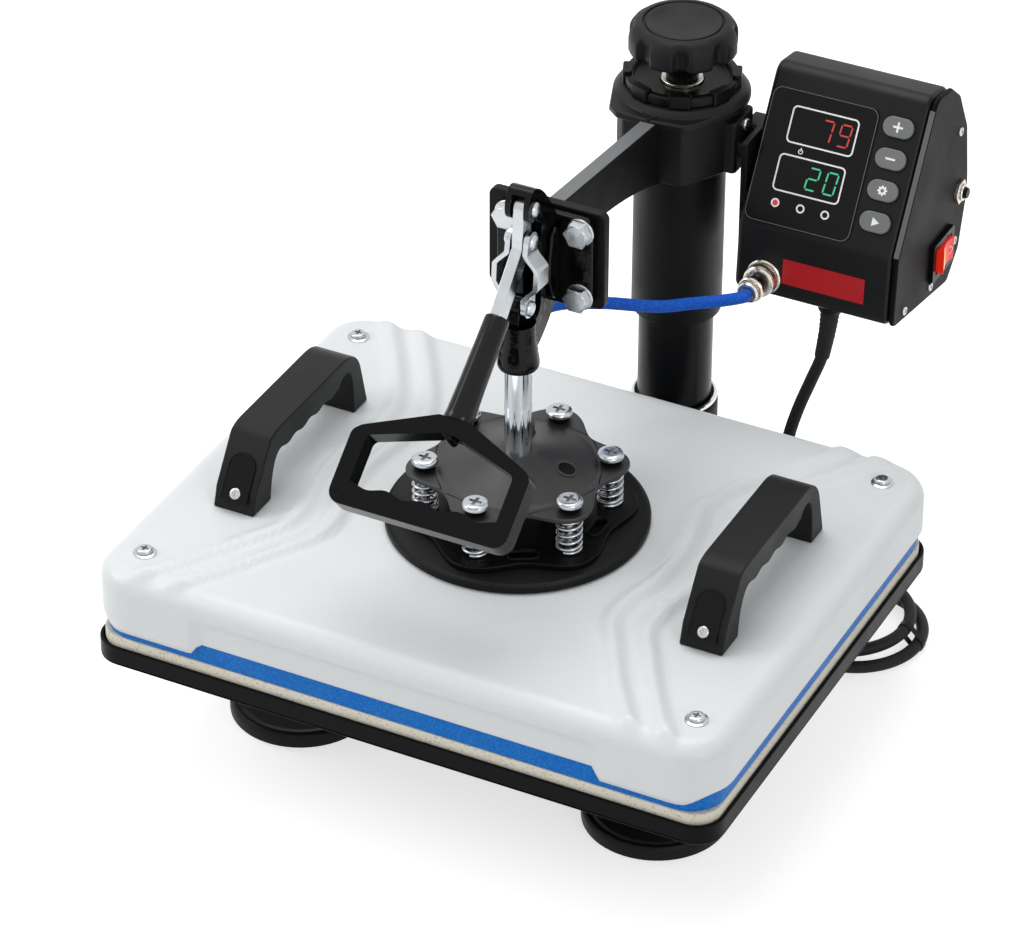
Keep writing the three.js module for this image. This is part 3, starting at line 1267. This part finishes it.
add(turningHead, "reset_button", join(
  bar(reset.stem, reset.proud + box.side + 2 * reset.travel,
    alongX(boxRight - box.side - 2 * reset.travel, resetY, resetZ), { sides: 10 }),
  bar(reset.barrel, reset.travel, alongX(boxRight - box.side - seat - 2 * reset.travel, resetY, resetZ),
    { sides: 10 }),
), plastic);

function rockerBezel() {
  const { width, height, bezel, rim, depth } = rocker;
  const face = push(roundedRect(width, height, 2), bezel, alongX(boxRight + seat, rockerY, rockerZ),
    { bevel: 0.8, curve: 1 });
  const sleeveShape = roundedRect(width - 2 * rim, height - 2 * rim, 1);
  const sleeve = push(sleeveShape, depth + bezel, alongX(boxRight + seat - depth, rockerY, rockerZ),
    { curve: 1 });
  const hollow = roundedRect(width - 3.4 * rim, height - 3.4 * rim, 1);
  const mouth = push(
    hollow, depth + bezel + over, alongX(boxRight + seat - depth + rim / 2, rockerY, rockerZ), { curve: 1 },
  );
  return cut(join(face, sleeve), mouth);
}

add(turningHead, "rocker_bezel", rockerBezel(), plastic);

// The rocker in plan: a shallow V whose two wings tip about an upright pin.
function rockerCap() {
  const { width, height, rim, bezel, wing, depth } = rocker;
  const half = width / 2 - 1.7 * rim - 0.8;
  const shape = outline([
    [-half + 1, -depth / 3], [half - 1, -depth / 3], [half, wing], [0, wing / 2], [-half, wing],
  ]);
  const frame = new THREE.Matrix4().set(
    0, 1, 0, boxRight + seat + bezel - 1.2,
    1, 0, 0, rockerY,
    0, 0, 1, rockerZ - height / 2 + 1.7 * rim + 0.5,
    0, 0, 0, 1,
  );
  const cap = push(shape, height - 3.4 * rim - 1, frame);
  const tilt = new THREE.Matrix4().makeTranslation(boxRight, rockerY, 0);
  tilt.multiply(new THREE.Matrix4().makeRotationZ(THREE.MathUtils.degToRad(rocker.tilt / 2)));
  tilt.multiply(new THREE.Matrix4().makeTranslation(-boxRight, -rockerY, 0));
  return cap.transform(tilt.elements);
}

add(turningHead, "rocker_switch", rockerCap(), redGlow);

function displayPanel() {
  const { left, width, height, up, thick, corner, rise } = panel;
  const middleX = left + width / 2;
  let whole = push(roundedRect(width, height, corner), thick, onSlope(middleX, up + height / 2, seat),
    { curve: 1 });
  for (const frameUp of [display.timeUp, display.tempUp]) {
    const x = display.left + display.width / 2;
    const y = frameUp + display.height / 2;
    const outer = roundedRect(display.width + 2 * display.rim, display.height + 2 * display.rim,
      display.corner);
    outer.holes.push(roundedRect(display.width, display.height, display.corner));
    whole = join(whole, push(outer, rise / 3, onSlope(x, y, seat + thick / 2), { curve: 1 }));
  }
  return whole;
}

add(turningHead, "display_panel", displayPanel(), gloss);

["start", "setup", "minus", "plus"].forEach((name, i) => {
  const { width, height, thick, proud, flange, x } = button;
  const capShape = roundedRect(width, height, height / 2);
  const cap = push(capShape, thick, onSlope(x, buttonUps[i], proud - thick), { curve: 1 });
  const foot = roundedRect(width, height + 2 * flange, height / 2);
  const footZ = -box.wall - seat - flange;
  add(turningHead, "button_" + name, join(cap,
    push(foot, flange, onSlope(x, buttonUps[i], footZ), { curve: 1 })), greyPlastic);
});

// Heater cable: socket on the box, screwed coupler, and the braided cable down to the spider

function cableSocket() {
  const { radius, flange, barrel, nose, depth, out } = socket;
  const discBody = bar(radius, flange, onFront(socket.x, socket.z, seat), { sides: 18 });
  const body = bar(barrel, depth + seat + 0.1, onFront(socket.x, socket.z, -depth), { sides: 12 });
  return join(discBody, body, bar(nose, flange + out, onFront(socket.x, socket.z, seat), { sides: 12 }));
}

add(turningHead, "cable_socket", cableSocket(), nickel);

function cableCoupler() {
  const { radius, nut, waistRadius, waist, tailRadius, tail } = coupler;
  const start = seat + socket.flange + seat;
  const frame = onFront(socket.x, socket.z, start);
  const bore = socket.nose + seat;
  const cableBore = heaterCable.radius + 2 * seat;
  return turned([
    [bore, 0], [radius, 0], [radius, nut], [waistRadius, nut],
    [waistRadius, nut + waist], [tailRadius + 2, nut + waist], [tailRadius + 2, nut + waist + tail / 2],
    [tailRadius, nut + waist + tail], [cableBore, nut + waist + tail], [cableBore, nut + waist],
    [bore / 2, nut + waist], [bore / 2, socket.out + seat], [bore, socket.out + seat], [bore, 0],
  ], frame, 14);
}

add(turningHead, "cable_coupler", cableCoupler(), nickel);

const couplerLength = 2 * seat + socket.flange + coupler.nut + coupler.waist + seat;
const cableEnd = (out) => new THREE.Vector3().setFromMatrixPosition(onFront(socket.x, socket.z,
  couplerLength + out));
const cableFootZ = spiderZ + spider.sheet + 1 + seat;
const cablePoints = new THREE.CatmullRomCurve3([
  cableEnd(coupler.tail + 5 * seat), cableEnd(coupler.tail + 4), new THREE.Vector3(58, 143, linkPinZ - 60.5),
  new THREE.Vector3(46, 134, linkPinZ - 60.5),
  new THREE.Vector3(31, 116, linkPinZ - 57), new THREE.Vector3(6.5, 90,
    linkPinZ - 47), new THREE.Vector3(-13.4, 62, linkPinZ - 40),
  new THREE.Vector3(-17, 46, linkPinZ - 47), new THREE.Vector3(-12, 31, linkPinZ - 66),
  new THREE.Vector3(heaterCable.socketX, heaterCable.socketY, hubTopZ + 8),
  new THREE.Vector3(heaterCable.socketX, heaterCable.socketY, hubTopZ),
  new THREE.Vector3(heaterCable.socketX, heaterCable.socketY, cableFootZ),
], false, "centripetal").getSpacedPoints(heaterCable.steps);
add(turningHead, "heater_cable", sweep(cablePoints, heaterCable.radius, heaterCable.sides,
  new THREE.Vector3(1, 0, 0)), blueBraid);

// Mains cord: gland, the part that hangs from the box, the part on the floor with its coil, and the plug

function mainsGland() {
  const { radius, nut, neckRadius, neck, spigot } = gland;
  const frame = onSole(gland.x, gland.y, seat);
  const bore = mains.radius + 2 * seat;
  const hexagon = bar(radius, nut, frame, { sides: 6 });
  const throat = bar(neckRadius + 1, neck, onSole(gland.x, gland.y, seat + nut - 0.1),
    { end: neckRadius, sides: 12 });
  const root = bar(spigot, box.wall + 3 * seat, onSole(gland.x, gland.y, -box.wall - seat), { sides: 12 });
  const hole = bar(bore, 6 * nut, onSole(gland.x, gland.y, -2 * nut), { sides: 10 });
  return cut(join(hexagon, throat, root), hole);
}

add(turningHead, "mains_gland", mainsGland(), plastic);

const glandPoint = (out) => new THREE.Vector3().setFromMatrixPosition(onSole(gland.x, gland.y, out));
const dropPoints = new THREE.CatmullRomCurve3([
  glandPoint(gland.nut + gland.neck + 2 * seat), new THREE.Vector3(98, 200, 182), new THREE.Vector3(88,
    200, 145),
  new THREE.Vector3(79, 201, 105), new THREE.Vector3(mains.joinX, mains.joinY - 1, 70),
  new THREE.Vector3(mains.joinX, mains.joinY, mains.joinZ + 8), new THREE.Vector3(mains.joinX,
    mains.joinY, mains.joinZ),
], false, "centripetal").getSpacedPoints(mains.dropSteps);
add(turningHead, "mains_cord_drop", sweep(dropPoints, mains.radius, mains.sides,
  new THREE.Vector3(1, 0, 0)), rubber);

const layBy = 2 * mains.radius + mains.clearance;
const cordRestZ = mains.radius + 2 * seat;
// Two layers of two loops: in on the floor, one step up, and out on top.
function coilCourse() {
  const { loops, loopSteps, inner, coilX, coilY } = mains;
  const middle = loops / 2;
  return Array.from({ length: loops * loopSteps + 1 }, (_, i) => {
    const done = i / loopSteps;
    const turn = Math.PI + 2 * Math.PI * done;
    const loop = Math.min(Math.floor(done), loops - 1);
    const move = THREE.MathUtils.smoothstep(done - loop, 0.5, 1);
    const outwards = loop < middle ? middle - loop - move : loop - middle + move;
    const reach = inner + layBy * outwards;
    const rise = THREE.MathUtils.smoothstep(done - middle, 0, 0.5);
    return new THREE.Vector3(coilX + reach * Math.cos(turn), coilY + reach * Math.sin(turn),
      cordRestZ + layBy * rise);
  });
}

const coilPoints = coilCourse();
const coilOut = coilPoints[0];
const coilIn = coilPoints[coilPoints.length - 1];
const runPoints = new THREE.CatmullRomCurve3([
  new THREE.Vector3(mains.joinX, mains.joinY, mains.joinZ - seat), new THREE.Vector3(mains.joinX,
    mains.joinY, mains.joinZ - 8),
  new THREE.Vector3(mains.joinX + 5, mains.joinY - 1, 22), new THREE.Vector3(mains.joinX + 11,
    mains.joinY - 4, 9),
  new THREE.Vector3(coilOut.x - 3, coilOut.y + 22, cordRestZ), coilOut.clone().setY(coilOut.y + 8), coilOut,
], false, "centripetal").getSpacedPoints(mains.runSteps);
const plugY = mains.coilY - 100;
const plugZ = plug.height / 2 + seat;
const tailPoints = new THREE.CatmullRomCurve3([
  coilIn, coilIn.clone().setY(coilIn.y - 8), new THREE.Vector3(coilIn.x - 2, coilIn.y - 26, coilIn.z - 1),
  new THREE.Vector3(coilIn.x - 1, coilIn.y - 44, 2 * mains.radius),
  new THREE.Vector3(coilIn.x + 6, coilIn.y - 66, 1.5 * mains.radius), new THREE.Vector3(coilIn.x + 14,
    plugY + 12, plugZ),
  new THREE.Vector3(coilIn.x + 14, plugY + seat, plugZ),
], false, "centripetal").getSpacedPoints(mains.runSteps);
const cordPoints = [...runPoints.slice(0, -1), ...coilPoints, ...tailPoints.slice(1)];
console.log("mains coil: least gap between loops", ownGap(cordPoints, mains.radius, 7).toFixed(2), "mm");
add(floorAndTable, "mains_cord_coil", sweep(cordPoints, mains.radius, mains.sides,
  new THREE.Vector3(1, 0, 0)), rubber);

function mainsPlug() {
  const { length, width, height, neck, corner, pin, pinThick, pinLength, spread } = plug;
  const x = coilIn.x + 14;
  const ring = (w, h, y) => rectRing(w, h, corner,
    2).map((point) => new THREE.Vector3(x + point.x, y, plugZ + point.y));
  let whole = skin([
    ring(neck, neck, plugY), ring(neck, neck, plugY - neck / 2), ring(width, height, plugY - neck),
    ring(width, height, plugY - length),
  ]);
  const tip = plugY - length;
  for (const side of [-1, 1]) {
    const blade = new THREE.BoxGeometry(pinThick, pinLength + over, pin);
    blade.translate(x + side * spread, tip - pinLength / 2 + over / 2, plugZ - height / 8);
    whole = join(whole, solid(blade));
  }
  return join(whole, bar(pin / 3, pinLength + 2, alongMinusY(x, tip + over, plugZ + height / 4),
    { sides: 12 }));
}

add(floorAndTable, "mains_plug", mainsPlug(), rubber);

// The origin goes under the middle of the press, on the floor

const frontEnd = -coverDepth / 2;
const rearEnd = base.rearY + base.lobeRadius;
press.position.y = -(frontEnd + rearEnd) / 2;
const assembly = new THREE.Group();
assembly.add(press);

export default assembly;
